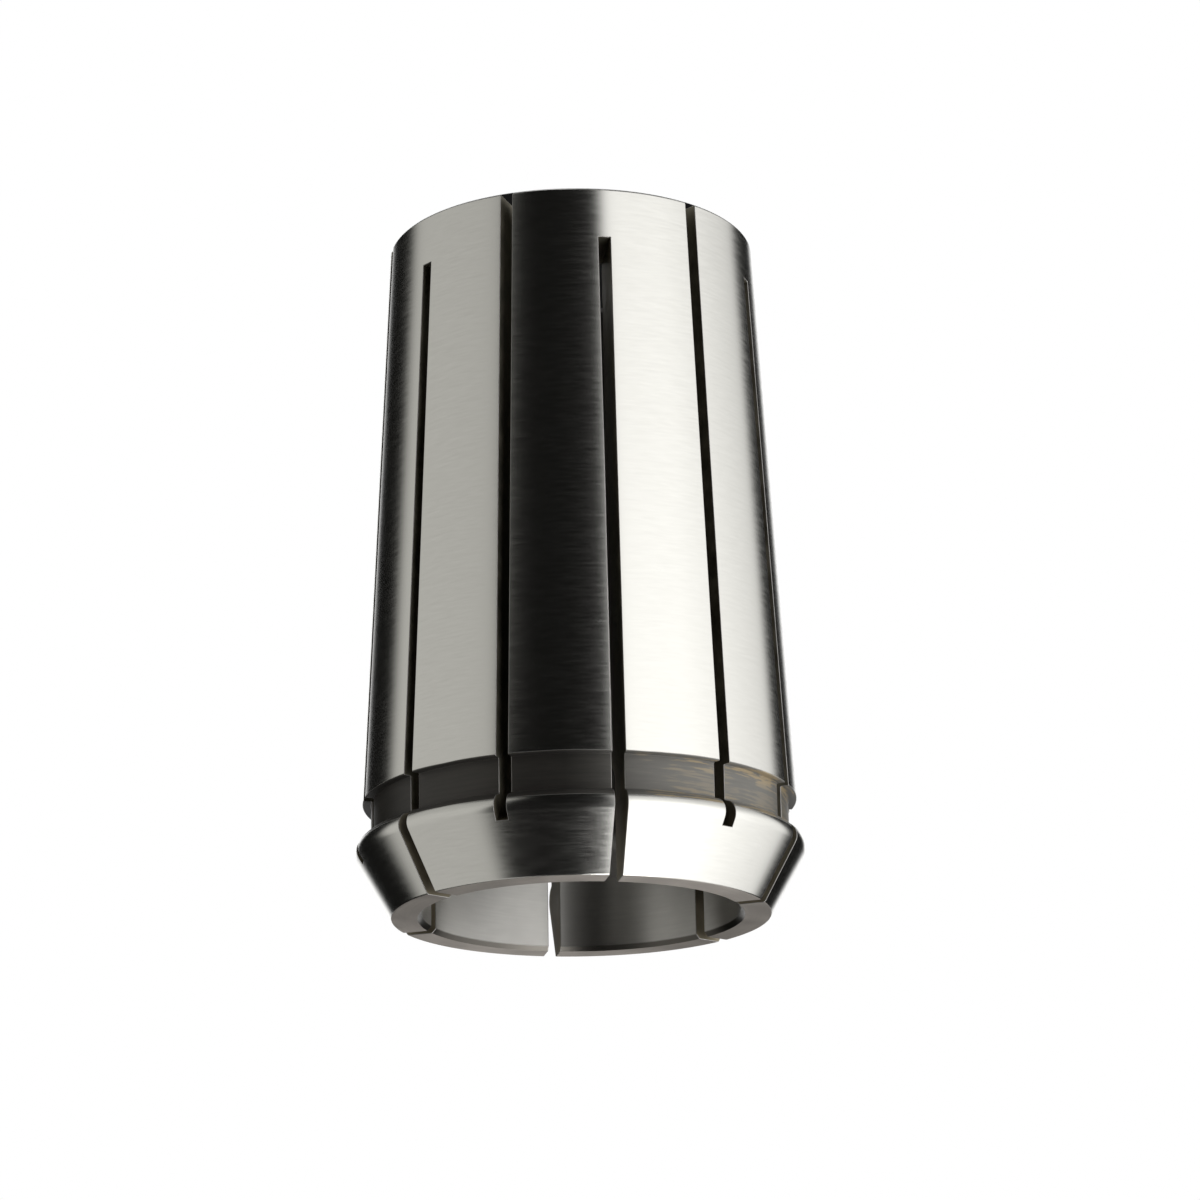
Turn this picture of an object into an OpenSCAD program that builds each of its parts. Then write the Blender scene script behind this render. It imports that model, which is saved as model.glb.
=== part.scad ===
// Spring collet: a slotted steel clamping sleeve with a slim seating taper and a nose cone.
// Millimetres. The origin is the centre of the nose face, and +Z runs along the axis to the
// small end of the taper, so the collet stands on its nose.

/* [Body] */
// Overall length, nose face to small end
body_len = 40; // [36:0.5:60]
// Largest diameter, over the rim behind the nose cone
rim_d = 25.5; // [25:0.1:30]
// Length over which the seating taper narrows by 1 mm in diameter
taper_run = 10; // [8:0.5:20]
// How far the shoulder of the taper stands inside the rim, on the radius
seat_drop = 0.4; // [0.2:0.01:0.6]
// Edge break on the shoulder of the taper
seat_break = 0.05; // [0.02:0.01:0.2]
// Edge break at the small end of the taper
tail_break = 0.12; // [0.05:0.01:0.6]

/* [Nose] */
// Height of the widest point of the rim above the nose face
rim_z = 3.67; // [3.2:0.01:6]
// Rounding of the rim
rim_edge = 0.8; // [0.5:0.05:1.1]
// Angle of the nose cone from the axis
nose_angle = 30; // [20:1:40]
// Edge break between the nose cone and the nose face
nose_break = 0.12; // [0.05:0.01:0.4]
// Angle of the rim's rear flank from the axis
flank_angle = 72; // [45:1:80]
// Depth of the extractor groove below the rim, on the radius
groove_depth = 0.88; // [0.75:0.01:1.1]
// Width of the floor of the extractor groove, up to the shoulder of the taper
groove_floor = 2; // [1:0.05:4]

/* [Bore] */
// Clamping bore
bore_d = 16; // [10:0.5:17]
// Chamfer of the bore at the small end
bore_break = 0.5; // [0.2:0.05:1]
// Step of the mouth relief over the bore, on the radius
relief_step = 1; // [0.4:0.05:1.1]
// Depth of the parallel part of the mouth relief
relief_len = 6; // [3:0.25:12]
// Chamfer of the mouth at the nose face
mouth_break = 0.25; // [0.1:0.05:0.5]

/* [Slots] */
// Slots cut from each end, in alternation
slot_count = 6; // [3:1:8]
// Width of each saw cut
slot_w = 0.7; // [0.5:0.05:1.2]
// Wall left at the small end beyond the slots cut from the nose
tail_web = 3; // [2:0.1:8]
// Wall left at the nose below the slots cut from the small end
nose_web = 2.9; // [2:0.05:3]
// Diameter of the saw that cuts the slots
saw_d = 24; // [20:1:40]
// How far the saw reaches past the bore wall in the slots cut from the nose
nose_pass = 8.4; // [2.5:0.1:9]
// How far the saw reaches past the bore wall in the slots cut from the small end
tail_pass = 3.5; // [2.5:0.1:4]

/* [Hidden] */
$fn = 128;
steel = [0.72, 0.72, 0.71];
// A straight side runs this far inside the rounding that ends it, so that the two cross.
blend = 0.003;
// Cutters reach this far past the faces that they open.
over = 1;

bore_r = bore_d / 2;
rim_r = rim_d / 2;
relief_r = bore_r + relief_step;
taper_angle = atan(0.5 / taper_run);

// Profile points are [radius, height]. The rim's rounding takes in the nose cone and the flank.
rim_mid = [rim_r - rim_edge, rim_z];
cone_top = rim_mid + (rim_edge - blend) * [cos(nose_angle), -sin(nose_angle)];
flank_foot = rim_mid + (rim_edge - blend) * [cos(flank_angle), sin(flank_angle)];
face_r = cone_top[0] - cone_top[1] * tan(nose_angle);

// The groove is a plain cylinder between the flank and the square shoulder of the taper.
groove_r = rim_r - groove_depth;
groove_z = flank_foot[1] + (flank_foot[0] - groove_r) / tan(flank_angle);
seat_r = rim_r - seat_drop;
seat_z = groove_z + groove_floor;

function taper_r(z) = seat_r - (z - seat_z) * tan(taper_angle);
function cone_r(z) = face_r + z * tan(nose_angle);

// The saw's centre stands off the axis, so each cut ends in an arc that rises through the wall.
saw_r = saw_d / 2;
nose_cut_x = bore_r - nose_pass + saw_r;
nose_cut_top = body_len - tail_web;
nose_cut_in = nose_cut_x - taper_r(nose_cut_top);
nose_cut_z = nose_cut_top - sqrt(saw_r * saw_r - nose_cut_in * nose_cut_in);
tail_cut_x = bore_r - tail_pass + saw_r;
tail_cut_in = tail_cut_x - cone_r(nose_web);
tail_cut_z = nose_web + sqrt(saw_r * saw_r - tail_cut_in * tail_cut_in);

// Outside of the collet, turned as one bar.
module outside() {
    rotate_extrude() {
        polygon([
            [0, 0],
            [face_r - nose_break * tan(nose_angle), 0],
            [cone_r(nose_break), nose_break],
            cone_top,
            flank_foot,
            [groove_r, groove_z],
            [groove_r, seat_z],
            [seat_r - seat_break, seat_z],
            [taper_r(seat_z + seat_break), seat_z + seat_break],
            [taper_r(body_len - tail_break), body_len - tail_break],
            [taper_r(body_len) - tail_break, body_len],
            [0, body_len]
        ]);
        translate(rim_mid)
            circle(r = rim_edge);
    }
}

// Clamping bore with the parallel relief and the edge break at its mouth.
module bore() {
    rotate_extrude()
        polygon([
            [0, -over],
            [relief_r + mouth_break + over, -over],
            [relief_r, mouth_break],
            [relief_r, relief_len],
            [bore_r, relief_len + relief_step],
            [bore_r, body_len - bore_break],
            [bore_r + bore_break + over, body_len + over],
            [0, body_len + over]
        ]);
}

// One saw cut through the wall on the +X side. It comes in at the height from, and the saw's
// centre stops at [x, z]. It starts inside the bore, clear of the axis.
module saw_cut(x, z, from) {
    low = min(z, from);
    tall = max(z, from) - low;
    inner = bore_r - over;
    outer = rim_r + over - inner;
    rotate([90, 0, 0])
        linear_extrude(height = slot_w, center = true)
            intersection() {
                union() {
                    translate([inner, low])
                        square([outer, tall]);
                    translate([x, z])
                        circle(r = saw_r);
                }
                translate([inner, -over])
                    square([outer, body_len + 2 * over]);
            }
}

module slots() {
    for (i = [0 : slot_count - 1]) {
        rotate([0, 0, 90 + i * 360 / slot_count])
            saw_cut(nose_cut_x, nose_cut_z, -over);
        rotate([0, 0, 90 + (i + 0.5) * 360 / slot_count])
            saw_cut(tail_cut_x, tail_cut_z, body_len + over);
    }
}

module collet() {
    color(steel)
        difference() {
            outside();
            bore();
            slots();
        }
}

collet();
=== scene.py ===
import math

import bmesh
import bpy
from mathutils import Matrix, Vector


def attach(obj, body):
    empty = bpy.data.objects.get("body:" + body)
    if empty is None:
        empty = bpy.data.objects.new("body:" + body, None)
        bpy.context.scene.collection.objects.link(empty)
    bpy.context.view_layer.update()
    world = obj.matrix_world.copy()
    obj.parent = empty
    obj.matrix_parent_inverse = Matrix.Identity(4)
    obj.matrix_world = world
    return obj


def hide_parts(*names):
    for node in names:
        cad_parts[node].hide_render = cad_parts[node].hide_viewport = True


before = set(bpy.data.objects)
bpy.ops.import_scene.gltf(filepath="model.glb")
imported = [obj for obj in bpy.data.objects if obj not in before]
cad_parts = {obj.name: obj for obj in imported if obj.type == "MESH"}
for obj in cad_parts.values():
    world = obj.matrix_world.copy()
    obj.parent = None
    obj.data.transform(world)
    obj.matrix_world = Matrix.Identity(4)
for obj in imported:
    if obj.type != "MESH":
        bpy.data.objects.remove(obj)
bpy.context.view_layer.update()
print("frame loaded")


# The collet is drawn in millimetres and made metres once it is finished.
bodySizes = {
    "length": 40.0,
    "rimRadius": 12.75,
    "rimHeight": 3.67,
    "rimRound": 0.8,
    "coneAngle": 30.0,       # from the axis
    "flankAngle": 72.0,
    "noseRound": 0.17,
    "grooveDepth": 0.88,
    "grooveFloor": 2.0,
    "seatDrop": 0.4,
    "seatRound": 0.06,
    "taperRun": 10.0,        # length over which the diameter loses 1 mm
    "tailRound": 0.13,
    "boreRadius": 8.0,
    "boreBreak": 0.5,
    "reliefStep": 1.0,
    "reliefLength": 6.0,
    "mouthBreak": 0.25,
    "cornerRound": 0.08,
    "turnSteps": 144,
    "roundSteps": 4,
    "arcSteps": 10,
    "weld": 0.0005,          # points nearer than this become one
}


def arcPoints(mid, radius, first, last, steps):
    points = []
    for i in range(steps + 1):
        turn = math.radians(first + (last - first) * i / steps)
        points.append(Vector((mid[0] + radius * math.cos(turn), mid[1] + radius * math.sin(turn))))
    return points


def roundCorner(before, corner, after, radius, steps):
    toBefore = (before - corner).normalized()
    toAfter = (after - corner).normalized()
    half = toBefore.angle(toAfter) / 2
    mid = corner + (toBefore + toAfter).normalized() * radius / math.sin(half)
    start = corner + toBefore * radius / math.tan(half) - mid
    end = corner + toAfter * radius / math.tan(half) - mid
    sweep = start.angle_signed(end)
    points = []
    for i in range(steps + 1):
        turn = -sweep * i / steps
        points.append(mid + Vector((start.x * math.cos(turn) - start.y * math.sin(turn),
                                    start.x * math.sin(turn) + start.y * math.cos(turn))))
    return points


def profileMarks(body):
    # Where the straight lines of the profile meet, before their corners are rounded.
    rimMid = (body["rimRadius"] - body["rimRound"], body["rimHeight"])
    rim = arcPoints(rimMid, body["rimRound"], -body["coneAngle"], body["flankAngle"], body["arcSteps"])
    grooveRadius = body["rimRadius"] - body["grooveDepth"]
    grooveLow = rim[-1].y + (rim[-1].x - grooveRadius) / math.tan(math.radians(body["flankAngle"]))
    return {
        "rim": rim,
        "noseRadius": rim[0].x - rim[0].y * math.tan(math.radians(body["coneAngle"])),
        "grooveRadius": grooveRadius,
        "grooveLow": grooveLow,
        "seatRadius": body["rimRadius"] - body["seatDrop"],
        "seatHeight": grooveLow + body["grooveFloor"],
    }


def taperRadius(body, marks, height):
    return marks["seatRadius"] - (height - marks["seatHeight"]) * 0.5 / body["taperRun"]


def colletProfile(body, marks):
    bore = body["boreRadius"]
    relief = bore + body["reliefStep"]
    top = body["length"]
    edge = body["cornerRound"]
    # Each stop is a corner with the radius it is rounded to; a stop on an arc isn't rounded.
    stops = [(Vector((marks["noseRadius"], 0)), body["noseRound"])]
    stops += [(p, 0) for p in marks["rim"]]
    stops += [(Vector((marks["grooveRadius"], marks["grooveLow"])), edge),
              (Vector((marks["grooveRadius"], marks["seatHeight"])), edge),
              (Vector((marks["seatRadius"], marks["seatHeight"])), body["seatRound"]),
              (Vector((taperRadius(body, marks, top), top)), body["tailRound"])]
    stops += [(Vector((r, z)), edge) for r, z in (
        (bore + body["boreBreak"], top), (bore, top - body["boreBreak"]),
        (bore, body["reliefLength"] + body["reliefStep"]), (relief, body["reliefLength"]),
        (relief, body["mouthBreak"]), (relief + body["mouthBreak"], 0))]
    points = []
    for i, (corner, radius) in enumerate(stops):
        if radius:
            before, after = stops[i - 1][0], stops[(i + 1) % len(stops)][0]
            points += roundCorner(before, corner, after, radius, body["roundSteps"])
        else:
            points.append(corner)
    return points


def deselectAll():
    if bpy.context.object and bpy.context.object.mode != "OBJECT":
        bpy.ops.object.mode_set(mode="OBJECT")
    bpy.ops.object.select_all(action="DESELECT")


def pickOnly(obj):
    deselectAll()
    obj.select_set(True)
    bpy.context.view_layer.objects.active = obj


def selectFaces(obj, test):
    # Selects faces in edit mode by their middle and normal, and leaves face mode on.
    bpy.ops.mesh.select_mode(type="FACE")
    bpy.ops.mesh.select_all(action="DESELECT")
    cage = bmesh.from_edit_mesh(obj.data)
    cage.normal_update()
    for face in cage.faces:
        face.select_set(test(face.calc_center_median(), face.normal))
    cage.select_flush_mode()
    bmesh.update_edit_mesh(obj.data)


def duplicateOf(obj, name):
    pickOnly(obj)
    bpy.ops.object.duplicate(linked=False)
    copy = bpy.context.object
    copy.name = name
    return copy


# Finishes. Their places in the piece's material list are fixed here.
finishOrder = ["groundSteel", "colletBore", "faceSteel", "sawnSteel", "slotEdge"]
finishPlace = {name: i for i, name in enumerate(finishOrder)}


def giveFinishes(obj, materials):
    for name in finishOrder:
        obj.data.materials.append(materials[name])


def turnCollet(body, marks):
    # The profile is walked point by point from one vertex, then spun round the axis.
    points = colletProfile(body, marks)
    aside = math.radians(180 / body["turnSteps"])
    deselectAll()
    bpy.ops.mesh.primitive_plane_add(size=1, location=(0, 0, 0))
    obj = bpy.context.object
    obj.name = "springCollet"
    bpy.ops.object.mode_set(mode="EDIT")
    bpy.ops.mesh.select_mode(type="VERT")
    bpy.ops.mesh.merge(type="CENTER")

    def place(p):
        return Vector((p.x * math.cos(aside), p.x * math.sin(aside), p.y))

    bpy.ops.transform.translate(value=place(points[0]))
    for here, there in zip(points, points[1:]):
        step = place(there) - place(here)
        bpy.ops.mesh.extrude_vertices_move(TRANSFORM_OT_translate={"value": step})
    bpy.ops.mesh.select_all(action="SELECT")
    ends = bmesh.from_edit_mesh(obj.data)
    for vert in ends.verts:
        vert.select_set(len(vert.link_edges) == 1)
    ends.select_flush(True)
    bmesh.update_edit_mesh(obj.data)
    bpy.ops.mesh.edge_face_add()
    bpy.ops.mesh.select_all(action="SELECT")
    bpy.ops.mesh.delete(type="ONLY_FACE")        # the closing edge also fills the profile
    bpy.ops.mesh.select_all(action="SELECT")
    bpy.ops.mesh.spin(steps=body["turnSteps"], angle=math.tau, center=(0, 0, 0), axis=(0, 0, 1))
    bpy.ops.mesh.select_all(action="SELECT")
    bpy.ops.mesh.remove_doubles(threshold=body["weld"])
    bpy.ops.mesh.normals_make_consistent(inside=False)
    return obj


# How far a face's normal leans towards the axis in the bore and along it on the flats, and how
# near to an end of the collet a flat has to be. The groove and the shoulder stay ground steel.
zoneLimits = {"inward": 0.1, "flat": 0.9, "fromEnd": 1.0}


def assignZones(obj, body, limits, materials):
    giveFinishes(obj, materials)

    def inBore(middle, normal):
        return normal.xy.dot(middle.xy) < -limits["inward"] * middle.xy.length

    def onEndFace(middle, normal):
        between = limits["fromEnd"] < middle.z < body["length"] - limits["fromEnd"]
        return abs(normal.z) > limits["flat"] and not between

    for name, test in (("colletBore", inBore), ("faceSteel", onEndFace)):
        selectFaces(obj, test)
        obj.active_material_index = finishPlace[name]
        bpy.ops.object.material_slot_assign()
    bpy.ops.mesh.select_all(action="SELECT")
    bpy.ops.mesh.faces_shade_smooth()
    bpy.ops.object.mode_set(mode="OBJECT")


slotSizes = {
    "count": 6,              # from each end
    "width": 0.7,
    "sawRadius": 12.0,
    "sawSteps": 180,
    "inside": 1.0,           # the cutters start this far inside the bore
    "over": 2.0,             # and reach this far past the ends of the collet
    "near": 0.001,           # faces this near to the cutter's middle height are drawn out
    "edge": 0.035,           # rounding of the sawn edges
    "edgeSteps": 3,
    "edgeAngle": 20,         # sawn edges sharper than this are rounded
    "sharpAngle": 40,        # and corners inside a cut sharper than this stay sharp
    # Per end: reach of the saw past the bore, wall left at the far end, first azimuth.
    "nose": {"pass": 8.4, "web": 3.0, "turn": 30},
    "tail": {"pass": 3.5, "web": 2.9, "turn": 0},
}


def sawCutter(name, body, slot, end, middle, openEnd, materials):
    # A saw disc on +X, halved at its middle, drawn out past the open end and trimmed in the bore.
    deselectAll()
    bpy.ops.mesh.primitive_cylinder_add(
        vertices=slot["sawSteps"], radius=slot["sawRadius"], depth=slot["width"],
        location=middle, rotation=(math.pi / 2, 0, 0))
    cutter = bpy.context.object
    cutter.name = name
    bpy.ops.object.transform_apply(location=True, rotation=True, scale=True)
    height = middle[2]
    downwards = openEnd < height
    inside = (body["boreRadius"] - slot["inside"], 0, 0)
    bpy.ops.object.mode_set(mode="EDIT")
    bpy.ops.mesh.select_all(action="SELECT")
    bpy.ops.mesh.bisect(plane_co=middle, plane_no=(0, 0, 1), use_fill=True,
                        clear_inner=downwards, clear_outer=not downwards)
    selectFaces(cutter, lambda c, n: abs(c.z - height) < slot["near"])
    bpy.ops.mesh.extrude_region_move(TRANSFORM_OT_translate={"value": (0, 0, openEnd - height)})
    bpy.ops.mesh.select_all(action="SELECT")
    bpy.ops.mesh.bisect(plane_co=inside, plane_no=(1, 0, 0), use_fill=True, clear_inner=True)
    bpy.ops.mesh.select_all(action="SELECT")
    bpy.ops.mesh.normals_make_consistent(inside=False)
    bpy.ops.object.mode_set(mode="OBJECT")
    giveFinishes(cutter, materials)
    for face in cutter.data.polygons:
        face.material_index = finishPlace["sawnSteel"]
        face.use_smooth = True
    cutters = []
    for i in range(slot["count"]):
        copy = duplicateOf(cutter, name + str(i))
        copy.rotation_euler = (0, 0, math.radians(end["turn"] + i * 360 / slot["count"]))
        bpy.ops.object.transform_apply(location=False, rotation=True, scale=False)
        cutters.append(copy)
    bpy.data.objects.remove(cutter)
    return cutters


# A file has broken the left edge of the cut on -Y further, from the shoulder up to nothing.
filedSizes = {"from": 5.2, "deepAt": 6.6, "depth": 0.085, "to": 27.0, "span": 0.7}


def edgeFile(body, marks, slot, filed, materials):
    def edgePoint(height):
        return Vector((-slot["width"] / 2, -taperRadius(body, marks, height), height))

    outwards = Vector((1, -1, 0)).normalized()
    high = edgePoint(filed["to"])
    along = (high - (edgePoint(filed["deepAt"]) - outwards * filed["depth"])).normalized()
    across = along.cross(outwards).normalized()
    outwards = across.cross(along)
    length = (filed["to"] - filed["from"]) / along.z
    deselectAll()
    bpy.ops.mesh.primitive_cube_add(size=1, location=(0, 0, 0))
    cutter = bpy.context.object
    cutter.name = "edgeFile"
    cutter.scale = (filed["span"], filed["span"], length)
    pose = Matrix([[axis[i] for axis in (outwards, across, along)] for i in range(3)])
    cutter.rotation_euler = pose.to_euler()
    cutter.location = high - along * length / 2 + outwards * filed["span"] / 2
    bpy.ops.object.transform_apply(location=True, rotation=True, scale=True)
    giveFinishes(cutter, materials)
    for face in cutter.data.polygons:
        face.material_index = finishPlace["slotEdge"]
    return cutter


def cutAway(obj, cutter):
    pickOnly(obj)
    bpy.ops.object.modifier_add(type="BOOLEAN")
    cut = obj.modifiers[-1]
    cut.operation = "DIFFERENCE"
    cut.solver = "EXACT"
    cut.object = cutter
    bpy.ops.object.modifier_apply(modifier=cut.name)
    bpy.data.objects.remove(cutter)


def cutSlots(obj, body, marks, slot, filed, materials):
    # The saw's centre stops where the cut leaves its web on the outside.
    noseTop = body["length"] - slot["nose"]["web"]
    noseRadius = taperRadius(body, marks, noseTop)
    tailLow = slot["tail"]["web"]
    tailRadius = marks["noseRadius"] + tailLow * math.tan(math.radians(body["coneAngle"]))
    cutters = []
    for name, end, radius, height, side, openEnd in (
            ("noseSaw", slot["nose"], noseRadius, noseTop, -1, -slot["over"]),
            ("tailSaw", slot["tail"], tailRadius, tailLow, 1, body["length"] + slot["over"])):
        offset = body["boreRadius"] - end["pass"] + slot["sawRadius"]
        rise = math.sqrt(slot["sawRadius"] ** 2 - (offset - radius) ** 2)
        middle = (offset, 0, height + side * rise)
        cutters += sawCutter(name, body, slot, end, middle, openEnd, materials)
    deselectAll()
    for cutter in cutters:
        cutter.select_set(True)
    bpy.context.view_layer.objects.active = cutters[0]
    bpy.ops.object.join()
    cutAway(obj, bpy.context.object)
    cutAway(obj, edgeFile(body, marks, slot, filed, materials))


def selectEdges(obj, test):
    # Selects edges in edit mode by the finishes of their two faces and the angle between them.
    bpy.ops.mesh.select_mode(type="EDGE")
    bpy.ops.mesh.select_all(action="DESELECT")
    cage = bmesh.from_edit_mesh(obj.data)
    for edge in cage.edges:
        if len(edge.link_faces) == 2:
            kinds = sorted(face.material_index for face in edge.link_faces)
            edge.select_set(test(kinds, math.degrees(edge.calc_face_angle(0))))
    bmesh.update_edit_mesh(obj.data)


def breakEdges(obj, slot):
    # The walls of a cut meet its run-out in a sharp corner, and the turned faces in a rounded edge.
    sawn = finishPlace["sawnSteel"]

    def insideCut(kinds, angle):
        return kinds == [sawn, sawn] and angle > slot["sharpAngle"]

    def roundCut(kinds, angle):
        return kinds[0] < sawn and kinds[1] == sawn and angle > slot["edgeAngle"]

    bpy.ops.object.mode_set(mode="EDIT")
    selectEdges(obj, insideCut)
    bpy.ops.mesh.mark_sharp()
    selectEdges(obj, roundCut)
    bpy.ops.mesh.bevel(offset=slot["edge"], offset_type="OFFSET", segments=slot["edgeSteps"],
                       affect="EDGES", clamp_overlap=False, material=finishPlace["slotEdge"])
    bpy.ops.mesh.select_all(action="SELECT")
    bpy.ops.mesh.faces_shade_smooth()
    bpy.ops.object.mode_set(mode="OBJECT")


def steadyNormals(obj):
    pickOnly(obj)
    bpy.ops.object.modifier_add(type="WEIGHTED_NORMAL")
    steady = obj.modifiers[-1]
    steady.keep_sharp = True
    bpy.ops.object.modifier_apply(modifier=steady.name)


def borrowNormals(obj, uncut):
    # The turned faces keep the even shading that they had before the saw.
    pickOnly(obj)
    group = obj.vertex_groups.new(name="turned")
    turned = set()
    for face in obj.data.polygons:
        if face.material_index < finishPlace["sawnSteel"]:
            turned.update(face.vertices)
    group.add(list(turned), 1.0, "REPLACE")
    bpy.ops.object.modifier_add(type="DATA_TRANSFER")
    borrow = obj.modifiers[-1]
    borrow.object = uncut
    borrow.use_loop_data = True
    borrow.data_types_loops = {"CUSTOM_NORMAL"}
    borrow.loop_mapping = "POLYINTERP_NEAREST"
    borrow.vertex_group = group.name
    bpy.ops.object.modifier_apply(modifier=borrow.name)
    obj.vertex_groups.clear()


def makeMetres(obj):
    pickOnly(obj)
    obj.scale = (0.001, 0.001, 0.001)
    bpy.ops.object.transform_apply(location=False, rotation=False, scale=True)


def addNode(tree, kind, wires=None, **settings):
    # Wires name the node's inputs, each with a value or with the socket that feeds it.
    node = tree.nodes.new(kind)
    for key, value in settings.items():
        setattr(node, key, value)
    for key, value in (wires or {}).items():
        if isinstance(value, bpy.types.NodeSocket):
            tree.links.new(value, node.inputs[key])
        else:
            node.inputs[key].default_value = value
    return node


def mathNode(tree, operation, *terms):
    return addNode(tree, "ShaderNodeMath", dict(enumerate(terms)), operation=operation).outputs[0]


def productOf(tree, first, *others):
    for other in others:
        first = mathNode(tree, "MULTIPLY", first, other)
    return first


def rampNode(tree, value, fromLow, fromHigh, toLow=0.0, toHigh=1.0, smooth=True):
    wires = {"Value": value, "From Min": fromLow, "From Max": fromHigh, "To Min": toLow, "To Max": toHigh}
    shape = "SMOOTHSTEP" if smooth else "LINEAR"
    return addNode(tree, "ShaderNodeMapRange", wires, interpolation_type=shape, clamp=True).outputs["Result"]


def mixColours(tree, amount, first, second):
    return addNode(tree, "ShaderNodeMix", {0: amount, 6: first, 7: second}, data_type="RGBA").outputs[2]


def placeInMm(tree):
    # Where a point lies on the collet, in millimetres along X, Y and Z.
    spot = addNode(tree, "ShaderNodeTexCoord").outputs["Object"]
    inMm = addNode(tree, "ShaderNodeVectorMath", {0: spot, 1: (1000, 1000, 1000)},
                   operation="MULTIPLY").outputs[0]
    return addNode(tree, "ShaderNodeSeparateXYZ", {0: inMm}).outputs


def newGroup(name, inputs, output):
    tree = bpy.data.node_groups.new(name, "ShaderNodeTree")
    for label, value in inputs.items():
        socket = tree.interface.new_socket(name=label, in_out="INPUT", socket_type="NodeSocketFloat")
        socket.default_value = value
    tree.interface.new_socket(name=output, in_out="OUTPUT", socket_type="NodeSocketFloat")
    return tree, tree.nodes.new("NodeGroupInput").outputs


def endGroup(tree, result):
    out = tree.nodes.new("NodeGroupOutput")
    tree.links.new(result, out.inputs[0])
    return tree


def toolLinesGroup():
    # Fine lines left by turning and grinding, drawn round the axis on sides and faces alike.
    tree, given = newGroup("toolLines", {
        "Lines per mm": 8.0, "Drift per mm": 0.25, "Detail": 3.0, "Contrast": 0.5}, "Lines")
    place = placeInMm(tree)
    squares = [mathNode(tree, "MULTIPLY", place[axis], place[axis]) for axis in "XY"]
    radius = mathNode(tree, "SQRT", mathNode(tree, "ADD", *squares))
    per, drift = given["Lines per mm"], given["Drift per mm"]
    where = addNode(tree, "ShaderNodeCombineXYZ", {
        0: mathNode(tree, "MULTIPLY", radius, per),
        1: mathNode(tree, "MULTIPLY", place["Z"], per),
        2: mathNode(tree, "MULTIPLY", place["X"], drift)}).outputs[0]
    noise = addNode(tree, "ShaderNodeTexNoise", {
        "Vector": where, "W": mathNode(tree, "MULTIPLY", place["Y"], drift),
        "Scale": 1.0, "Detail": given["Detail"], "Roughness": 0.6}, noise_dimensions="4D").outputs[0]
    spread = mathNode(tree, "MULTIPLY", given["Contrast"], 0.5)
    low, high = (mathNode(tree, way, 0.5, spread) for way in ("SUBTRACT", "ADD"))
    return endGroup(tree, rampNode(tree, noise, low, high, smooth=False))


def cloudsGroup():
    # Soft uneven patches, for tarnish and for slight differences of tone.
    tree, given = newGroup("clouds", {"Size mm": 5.0, "Low": 0.4, "High": 0.6}, "Patches")
    spot = addNode(tree, "ShaderNodeTexCoord").outputs["Object"]
    size = mathNode(tree, "DIVIDE", 1000.0, given["Size mm"])
    noise = addNode(tree, "ShaderNodeTexNoise", {
        "Vector": spot, "Scale": size, "Detail": 3.0, "Roughness": 0.55}).outputs[0]
    return endGroup(tree, rampNode(tree, noise, given["Low"], given["High"], smooth=False))


def useGroup(tree, group, values):
    return addNode(tree, "ShaderNodeGroup", values, node_tree=group).outputs[0]


def metalShader(name, look):
    material = bpy.data.materials.new(name)
    material.use_nodes = True
    tree = material.node_tree
    shader = tree.nodes["Principled BSDF"]
    shader.inputs["Metallic"].default_value = 1.0
    shader.inputs["Roughness"].default_value = look["rough"]
    shader.inputs["Anisotropic"].default_value = look["anisotropy"]
    shader.inputs["Anisotropic Rotation"].default_value = 0.25      # gloss spreads along the axis
    around = addNode(tree, "ShaderNodeTangent", direction_type="RADIAL", axis="Z")
    tree.links.new(around.outputs[0], shader.inputs["Tangent"])
    return material, tree, shader


def feedShader(tree, shader, look, colour, mottle):
    # The mottle runs from the smoother spots of a finish to its rougher ones.
    tree.links.new(colour, shader.inputs["Base Color"])
    rough = rampNode(tree, mottle, 0.0, 1.0, look["rough"], look["rougher"], smooth=False)
    tree.links.new(rough, shader.inputs["Roughness"])


grainDepth = 0.00001         # metres


def bumpFrom(tree, shader, look, height):
    bump = addNode(tree, "ShaderNodeBump", {
        "Strength": look["bump"], "Distance": grainDepth, "Height": height})
    tree.links.new(bump.outputs[0], shader.inputs["Normal"])


groundLook = {
    "dull": (0.63, 0.625, 0.60, 1), "bright": (0.70, 0.695, 0.67, 1),
    "rough": 0.175, "rougher": 0.285, "anisotropy": 0.8, "bump": 0.07,
    "fine": {"Lines per mm": 7.0, "Drift per mm": 0.9, "Detail": 1.0, "Contrast": 0.8},
    # The dark band, which the grinding left out, from behind the rim up to the taper.
    "rimEnd": 4.05, "rimFade": (-0.03, 0.05),
    "seatStart": 6.60, "seatFade": (-0.03, 0.03),
    "wander": 0.05, "wanderScale": 260.0, "wanderDetail": 2.0,
    "darkLow": (0.040, 0.0385, 0.036, 1), "darkHigh": (0.066, 0.061, 0.055, 1),
    # The pale tones are a painted reflection of the bright right box, on the side of the band that faces it.
    "sheenPaleLow": (0.140, 0.136, 0.127, 1), "sheenPaleHigh": (0.205, 0.200, 0.186, 1),
    "darkRough": 0.5, "darkMetal": 0.4,
    "smears": {"Lines per mm": 6.0, "Drift per mm": 0.45, "Detail": 3.0, "Contrast": 0.35},
    "patches": {"Size mm": 6.0, "Low": 0.35, "High": 0.65},
    "sheenSide": 40.0,        # azimuth of the band's side that faces the bright right box, painted paler as its reflection and golden, to the right of -Y
    "sheenPaleFrom": (7.0, 11.5), "goldFrom": (9.0, 11.0),      # millimetres towards that side
    "gold": (0.42, 0.33, 0.20, 1),
    "goldBorder": (0.3, 1.1, 0.25, 1.0), "goldStreaks": (0.31, 0.50, 0.0, 0.75),
}


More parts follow.
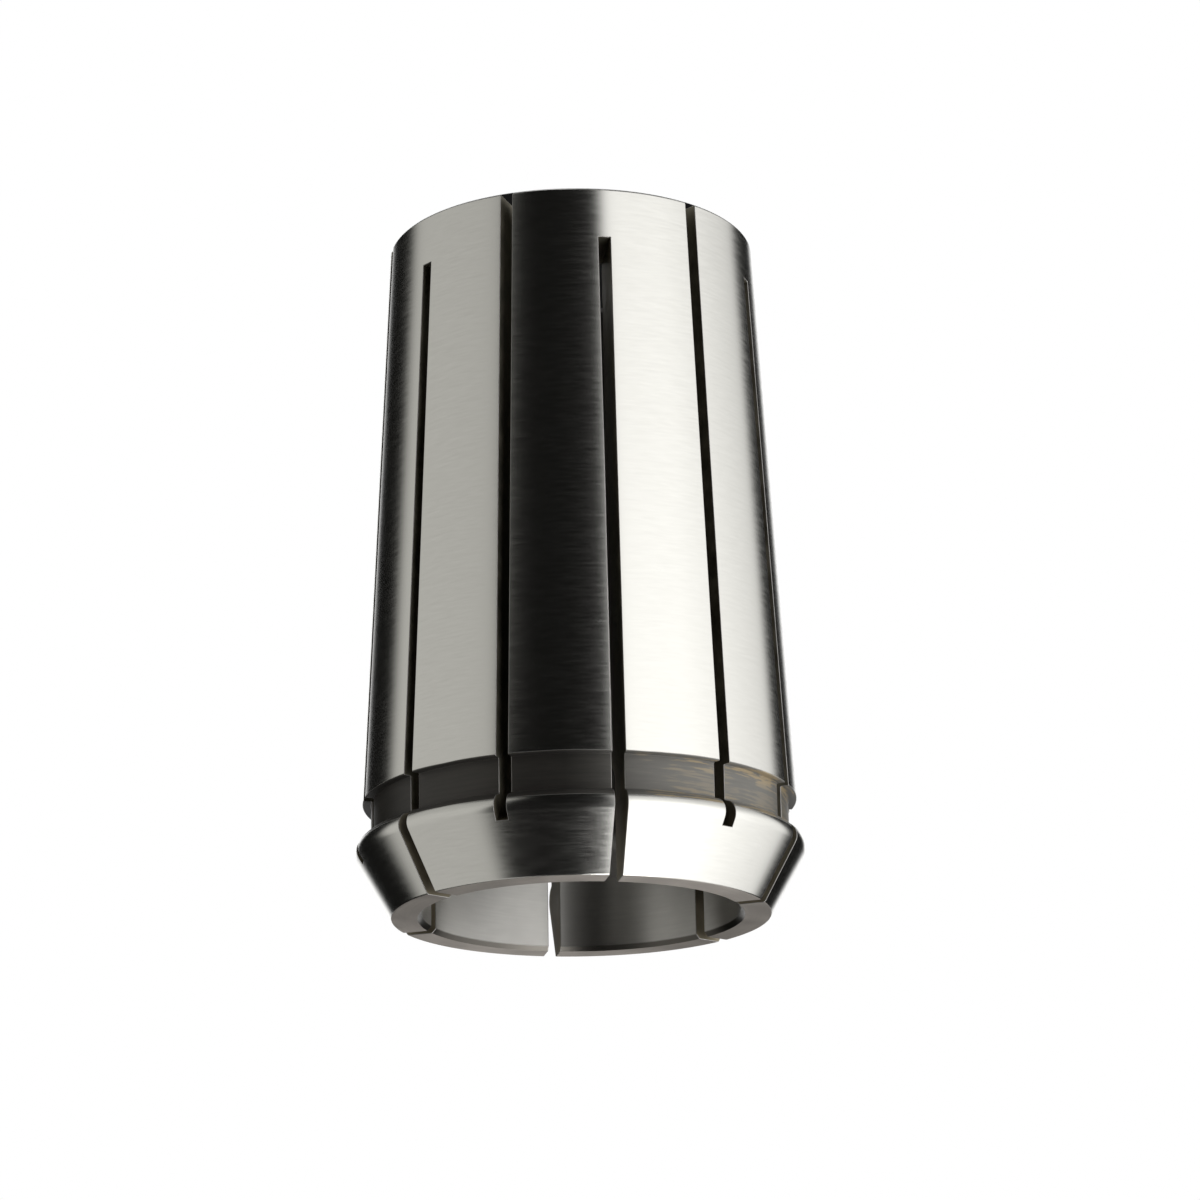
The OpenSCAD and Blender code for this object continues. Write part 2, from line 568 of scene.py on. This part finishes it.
def darkBand(tree, look, height):
    # A mask for the band. Its two borders wander a little.
    spot = addNode(tree, "ShaderNodeTexCoord").outputs["Object"]
    noise = addNode(tree, "ShaderNodeTexNoise", {
        "Vector": spot, "Scale": look["wanderScale"], "Detail": look["wanderDetail"]}).outputs[0]
    wander = productOf(tree, mathNode(tree, "SUBTRACT", noise, 0.5), look["wander"] * 2)
    level = mathNode(tree, "ADD", height, wander)
    above = rampNode(tree, level, *(look["rimEnd"] + fade for fade in look["rimFade"]))
    below = rampNode(tree, level, *(look["seatStart"] + fade for fade in look["seatFade"]), 1.0, 0.0)
    return productOf(tree, above, below)


def bandColour(tree, look, place, smears, patches):
    # The band is painted paler on the side that faces the bright right box, a painted reflection of that
    # box. Gold tarnish streaks are painted on that lit side only, most at its two borders.
    turn = math.radians(look["sheenSide"])
    side = mathNode(tree, "ADD", productOf(tree, place["X"], math.sin(turn)),
                    productOf(tree, place["Y"], -math.cos(turn)))
    tone = mathNode(tree, "MULTIPLY_ADD", smears, 0.5, mathNode(tree, "MULTIPLY", patches, 0.5))
    tarnishAndSheen = mixColours(tree, rampNode(tree, side, *look["sheenPaleFrom"], smooth=False),
                         mixColours(tree, tone, look["darkLow"], look["darkHigh"]),
                         mixColours(tree, tone, look["sheenPaleLow"], look["sheenPaleHigh"]))
    middle = (look["rimEnd"] + look["seatStart"]) / 2
    fromMiddle = mathNode(tree, "ABSOLUTE", mathNode(tree, "SUBTRACT", place["Z"], middle))
    border = rampNode(tree, fromMiddle, *look["goldBorder"])
    streaks = rampNode(tree, productOf(tree, smears, patches), *look["goldStreaks"])
    golden = productOf(tree, streaks, border, rampNode(tree, side, *look["goldFrom"]))
    return mixColours(tree, golden, tarnishAndSheen, look["gold"])


def groundSteelMaterial(groups, look):
    material, tree, shader = metalShader("groundSteel", look)
    fine = useGroup(tree, groups["toolLines"], look["fine"])
    smears = useGroup(tree, groups["toolLines"], look["smears"])
    patches = useGroup(tree, groups["clouds"], look["patches"])
    place = placeInMm(tree)
    band = darkBand(tree, look, place["Z"])
    ground = mixColours(tree, fine, look["dull"], look["bright"])
    dark = bandColour(tree, look, place, smears, patches)
    tree.links.new(mixColours(tree, band, ground, dark), shader.inputs["Base Color"])
    smooth = rampNode(tree, fine, 0.0, 1.0, look["rough"], look["rougher"], smooth=False)
    rough = addNode(tree, "ShaderNodeMix", {0: band, 2: smooth, 3: look["darkRough"]}).outputs[0]
    tree.links.new(rough, shader.inputs["Roughness"])
    metal = rampNode(tree, band, 0.0, 1.0, 1.0, look["darkMetal"], smooth=False)
    tree.links.new(metal, shader.inputs["Metallic"])
    bumpFrom(tree, shader, look, fine)
    return material


boreLook = {
    "dull": (0.60, 0.59, 0.57, 1), "bright": (0.78, 0.77, 0.74, 1),
    "rough": 0.38, "rougher": 0.42, "anisotropy": 1.0, "bump": 0.04,
    "fine": {"Lines per mm": 6.0, "Drift per mm": 0.5, "Detail": 2.0, "Contrast": 0.8},
    "patches": {"Size mm": 4.0, "Low": 0.3, "High": 0.7},
    # Painted shade: the lip tone is a painted dark reflection on the mouth chamfer.
    "lipShade": (0.17, 0.16, 0.145, 1), "lipShadeEnd": (0.22, 0.32),
    # Painted shade: the gripping bore behind the mouth is darkened as the shade inside the tube.
    "deepShadeDull": (0.11, 0.106, 0.10, 1), "deepShadeBright": (0.20, 0.19, 0.18, 1), "deepShadeFrom": (6.2, 7.0),
}


def boreMaterial(groups, look):
    # Bright in the mouth. Painted shade darkens its lip, as a painted dark reflection, and the gripping bore
    # behind it, as the shade inside the tube.
    material, tree, shader = metalShader("colletBore", look)
    fine = useGroup(tree, groups["toolLines"], look["fine"])
    patches = useGroup(tree, groups["clouds"], look["patches"])
    tone = productOf(tree, fine, patches)
    height = placeInMm(tree)["Z"]
    mouth = mixColours(tree, tone, look["dull"], look["bright"])
    mouth = mixColours(tree, rampNode(tree, height, *look["lipShadeEnd"]), look["lipShade"], mouth)
    gripShade = mixColours(tree, tone, look["deepShadeDull"], look["deepShadeBright"])
    colour = mixColours(tree, rampNode(tree, height, *look["deepShadeFrom"]), mouth, gripShade)
    feedShader(tree, shader, look, colour, fine)
    bumpFrom(tree, shader, look, fine)
    return material


faceLook = {
    "dull": (0.42, 0.390, 0.364, 1), "bright": (0.52, 0.483, 0.451, 1),
    "rough": 0.6, "rougher": 0.75, "anisotropy": 0.3, "bump": 0.2,
    "fine": {"Lines per mm": 5.0, "Drift per mm": 0.4, "Detail": 3.0, "Contrast": 0.5},
    "patches": {"Size mm": 3.0, "Low": 0.3, "High": 0.7},
}


def faceMaterial(groups, look):
    material, tree, shader = metalShader("faceSteel", look)
    fine = useGroup(tree, groups["toolLines"], look["fine"])
    patches = useGroup(tree, groups["clouds"], look["patches"])
    colour = mixColours(tree, productOf(tree, fine, patches), look["dull"], look["bright"])
    feedShader(tree, shader, look, colour, patches)
    bumpFrom(tree, shader, look, fine)
    return material


sawnLook = {
    "dull": (0.16, 0.15, 0.12, 1), "bright": (0.30, 0.28, 0.225, 1),
    "noseDull": (0.22, 0.195, 0.145, 1), "noseBright": (0.36, 0.32, 0.245, 1),
    "noseFade": (1.0, 7.0, 1.0, 0.0),
    "rough": 0.5, "rougher": 0.65, "anisotropy": 0.0, "bump": 0.2,
    "patches": {"Size mm": 1.5, "Low": 0.3, "High": 0.7},
}


def sawnMaterial(groups, look):
    # The cuts are dark olive inside, and paler and browner towards the nose.
    material, tree, shader = metalShader("sawnSteel", look)
    patches = useGroup(tree, groups["clouds"], look["patches"])
    nearNose = rampNode(tree, placeInMm(tree)["Z"], *look["noseFade"])
    inside = mixColours(tree, patches, look["dull"], look["bright"])
    atNose = mixColours(tree, patches, look["noseDull"], look["noseBright"])
    feedShader(tree, shader, look, mixColours(tree, nearNose, inside, atNose), patches)
    bumpFrom(tree, shader, look, patches)
    return material


edgeLook = {
    "dull": (0.30, 0.29, 0.28, 1), "bright": (0.42, 0.41, 0.40, 1),
    "rough": 0.38, "rougher": 0.5, "anisotropy": 0.0,
    "patches": {"Size mm": 0.8, "Low": 0.3, "High": 0.7},
}


def slotEdgeMaterial(groups, look):
    material, tree, shader = metalShader("slotEdge", look)
    patches = useGroup(tree, groups["clouds"], look["patches"])
    feedShader(tree, shader, look, mixColours(tree, patches, look["dull"], look["bright"]), patches)
    return material


groups = {"toolLines": toolLinesGroup(), "clouds": cloudsGroup()}
materials = {
    "groundSteel": groundSteelMaterial(groups, groundLook),
    "colletBore": boreMaterial(groups, boreLook),
    "faceSteel": faceMaterial(groups, faceLook),
    "sawnSteel": sawnMaterial(groups, sawnLook),
    "slotEdge": slotEdgeMaterial(groups, edgeLook),
}
print("finishes mixed")

marks = profileMarks(bodySizes)
collet = turnCollet(bodySizes, marks)
assignZones(collet, bodySizes, zoneLimits, materials)
print("collet turned", len(collet.data.polygons), "faces")

uncut = duplicateOf(collet, "uncutCollet")
steadyNormals(uncut)
cutSlots(collet, bodySizes, marks, slotSizes, filedSizes, materials)
print("slots sawn", len(collet.data.polygons), "faces")

pickOnly(collet)
breakEdges(collet, slotSizes)
steadyNormals(collet)
borrowNormals(collet, uncut)
bpy.data.objects.remove(uncut)
makeMetres(collet)
print("slot edges broken", len(collet.data.polygons), "faces")

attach(collet, "root")
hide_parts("collet")


# The camera stands below the nose and looks up at it, as the photograph does.
cameraPlace = {
    "distance": 0.23032,
    "below": 16.861,
    "roll": -1.033,
    "turn": -10.6,
    "target": (0.001369, 0, 0.018741),
    "lens": 119.43,
    "sensor": 36.0,
    "nearest": 0.01,
    "farthest": 10.0,
}


def standCamera(place):
    below, roll = math.radians(place["below"]), math.radians(place["roll"])
    back = Vector((0, -math.cos(below), -math.sin(below)))
    right = Vector((1, 0, 0))
    up = back.cross(right)
    leanRight = math.cos(roll) * right + math.sin(roll) * up
    leanUp = -math.sin(roll) * right + math.cos(roll) * up
    spin = Matrix.Rotation(math.radians(place["turn"]), 3, "Z")
    axes = [spin @ axis for axis in (leanRight, leanUp, back)]
    pose = Matrix([[axis[i] for axis in axes] for i in range(3)]).to_4x4()
    pose.translation = spin @ (Vector(place["target"]) + back * place["distance"])
    data = bpy.data.cameras.new("photoCamera")
    data.lens = place["lens"]
    data.sensor_width = place["sensor"]
    data.sensor_fit = "HORIZONTAL"
    data.clip_start = place["nearest"]
    data.clip_end = place["farthest"]
    camera = bpy.data.objects.new("photoCamera", data)
    bpy.context.scene.collection.objects.link(camera)
    camera.matrix_world = pose
    bpy.context.scene.camera = camera


standCamera(cameraPlace)
print("camera stands")


# Two soft boxes with a dark gap between them. Azimuths are degrees to the right of the camera, and
# rises are degrees above the floor. A box spans its azimuths from and to, and its rises low and high.
# Its sides lean by so many degrees of azimuth for each degree above the level rise. Each toSoft,
# glow and gain is a ramp: from one rise or azimuth to another, and the values there.
studio = {
    "turn": 10.6,
    "level": 20,
    "left": {
        "from": -118, "fromLean": 0.0, "fromSoft": 13,
        "to": -43, "toLean": 0.19, "toSoft": (-30, 0, 15, 7),
        "low": -88, "high": 55, "lift": 12,
        "glow": (-118, -41, 0.66, 0.64),
        "gains": ((14, 34, 1.0, 0.8), (-30, -5, 0.87, 1.0)),
        "tint": (1.0, 0.99, 0.94),
    },
    "right": {
        "from": 20.5, "fromLean": -0.03, "fromSoft": 9.5,
        "to": 127.5, "toLean": -0.09, "toSoft": (-30, 0, 10, 10),
        "low": -88, "high": 55, "lift": 12,
        "glow": (60, 130, 1.65, 0.92),
        "gains": ((14, 34, 1.13, 0.6), (-70, -60, 3.5, 1.0)),
        "tint": (1.0, 0.995, 0.975),
    },
    "dark": (0.007, 0.007, 0.0065),
    # The pale backdrop, which only the grazing edges of the collet mirror.
    "behind": {"glow": 1.3, "turn": 2, "from": 160.5, "soft": 12, "low": -8, "lift": 16},
    "backdrop": 1.0,         # its strength in the picture itself
}


def softEdge(tree, value, middle, soft, rising=True):
    # Goes from 0 to 1, or back, over a width of soft round the middle.
    first, last = (0.0, 1.0) if rising else (1.0, 0.0)
    away = mathNode(tree, "DIVIDE", mathNode(tree, "SUBTRACT", value, middle), soft)
    return rampNode(tree, away, -0.5, 0.5, first, last)


def softBox(tree, azimuth, rise, level, box):
    above = mathNode(tree, "SUBTRACT", rise, level)
    first, last = (mathNode(tree, "SUBTRACT", azimuth, productOf(tree, above, box[lean]))
                   for lean in ("fromLean", "toLean"))
    toSoft = rampNode(tree, rise, *box["toSoft"], smooth=False)
    gains = [rampNode(tree, rise, *gain, smooth=False) for gain in box["gains"]]
    power = productOf(tree, softEdge(tree, first, box["from"], box["fromSoft"]),
                      softEdge(tree, last, box["to"], toSoft, rising=False),
                      softEdge(tree, rise, box["low"], box["lift"]),
                      softEdge(tree, rise, box["high"], box["lift"], rising=False),
                      rampNode(tree, azimuth, *box["glow"], smooth=False), *gains)
    return addNode(tree, "ShaderNodeVectorMath", {0: box["tint"], "Scale": power},
                   operation="SCALE").outputs[0]


def farLight(tree, azimuth, rise, far):
    aside = mathNode(tree, "ABSOLUTE", mathNode(tree, "SUBTRACT", azimuth, far["turn"]))
    return productOf(tree, far["glow"], softEdge(tree, aside, far["from"], far["soft"]),
                     softEdge(tree, rise, far["low"], far["lift"]))


def lightStudio(look):
    world = bpy.data.worlds.new("studio")
    bpy.context.scene.world = world
    world.use_nodes = True
    tree = world.node_tree
    tree.nodes.clear()
    way = addNode(tree, "ShaderNodeTexCoord").outputs["Generated"]
    turned = addNode(tree, "ShaderNodeVectorRotate", {"Vector": way, "Angle": math.radians(look["turn"])},
                     rotation_type="Z_AXIS").outputs[0]
    parts = addNode(tree, "ShaderNodeSeparateXYZ", {0: turned}).outputs
    toCamera = productOf(tree, parts["Y"], -1.0)
    azimuth = productOf(tree, mathNode(tree, "ARCTAN2", parts["X"], toCamera), math.degrees(1))
    rise = productOf(tree, mathNode(tree, "ARCSINE", parts["Z"]), math.degrees(1))
    light = look["dark"]
    for glow in (softBox(tree, azimuth, rise, look["level"], look["left"]),
                 softBox(tree, azimuth, rise, look["level"], look["right"]),
                 farLight(tree, azimuth, rise, look["behind"])):
        light = addNode(tree, "ShaderNodeVectorMath", {0: light, 1: glow}, operation="ADD").outputs[0]
    studioLight = addNode(tree, "ShaderNodeBackground", {"Color": light, "Strength": 1.0})
    backdrop = addNode(tree, "ShaderNodeBackground", {"Color": (1, 1, 1, 1), "Strength": look["backdrop"]})
    seen = addNode(tree, "ShaderNodeLightPath").outputs["Is Camera Ray"]
    both = addNode(tree, "ShaderNodeMixShader", {0: seen, 1: studioLight.outputs[0], 2: backdrop.outputs[0]})
    out = addNode(tree, "ShaderNodeOutputWorld")
    tree.links.new(both.outputs[0], out.inputs["Surface"])
    bpy.context.scene.view_settings.view_transform = "Standard"


lightStudio(studio)
print("lights set")


def dressStage(obj, name):
    # A stage piece shows in the picture but neither lights the collet nor mirrors in it.
    obj.name = name
    bpy.ops.object.transform_apply(location=True)
    material = bpy.data.materials.new(name)
    material.use_nodes = True
    obj.data.materials.append(material)
    obj.visible_glossy = False
    obj.visible_diffuse = False
    obj.visible_shadow = False
    return material.node_tree


def clearWhere(tree, shader, hidden):
    clear = addNode(tree, "ShaderNodeBsdfTransparent")
    both = addNode(tree, "ShaderNodeMixShader", {0: hidden, 1: shader.outputs[0], 2: clear.outputs[0]})
    tree.links.new(both.outputs[0], tree.nodes["Material Output"].inputs["Surface"])


# Metres. The floor fades out between the two distances from its middle.
floorSizes = {"span": 1.2, "drop": 0.00002, "shade": (0.8, 0.8, 0.8, 1), "rough": 0.9, "glow": 0.45,
              "fade": (0.08, 0.55)}


def layFloor(sheet):
    # One pale sheet just under the nose, which is clear from below.
    deselectAll()
    bpy.ops.mesh.primitive_plane_add(size=sheet["span"], location=(0, 0, -sheet["drop"]))
    tree = dressStage(bpy.context.object, "paleFloor")
    shader = tree.nodes["Principled BSDF"]
    shader.inputs["Base Color"].default_value = sheet["shade"]
    shader.inputs["Roughness"].default_value = sheet["rough"]
    shader.inputs["Emission Color"].default_value = (1, 1, 1, 1)
    shader.inputs["Emission Strength"].default_value = sheet["glow"]
    under = addNode(tree, "ShaderNodeNewGeometry").outputs["Backfacing"]
    spot = addNode(tree, "ShaderNodeTexCoord").outputs["Object"]
    away = addNode(tree, "ShaderNodeVectorMath", {0: spot}, operation="LENGTH").outputs["Value"]
    clearWhere(tree, shader, mathNode(tree, "MAXIMUM", under, rampNode(tree, away, *sheet["fade"])))


# Metres. Through the small end and its slots, a dark card of painted shade shows in place of the backdrop.
shadeCardSizes = {"radius": 0.01058, "height": 0.04002, "corners": 144, "glow": 0.008}


def hangShadeCard(card):
    # A sheet of painted shade, just over the small end, and clear from above.
    deselectAll()
    bpy.ops.mesh.primitive_circle_add(vertices=card["corners"], radius=card["radius"],
                                      fill_type="NGON", location=(0, 0, card["height"]))
    tree = dressStage(bpy.context.object, "paintedShadeCard")
    dark = addNode(tree, "ShaderNodeEmission", {"Color": (1, 1, 1, 1), "Strength": card["glow"]})
    under = addNode(tree, "ShaderNodeNewGeometry").outputs["Backfacing"]
    clearWhere(tree, dark, mathNode(tree, "SUBTRACT", 1.0, under))


layFloor(floorSizes)
hangShadeCard(shadeCardSizes)
print("stage set")

deselectAll()
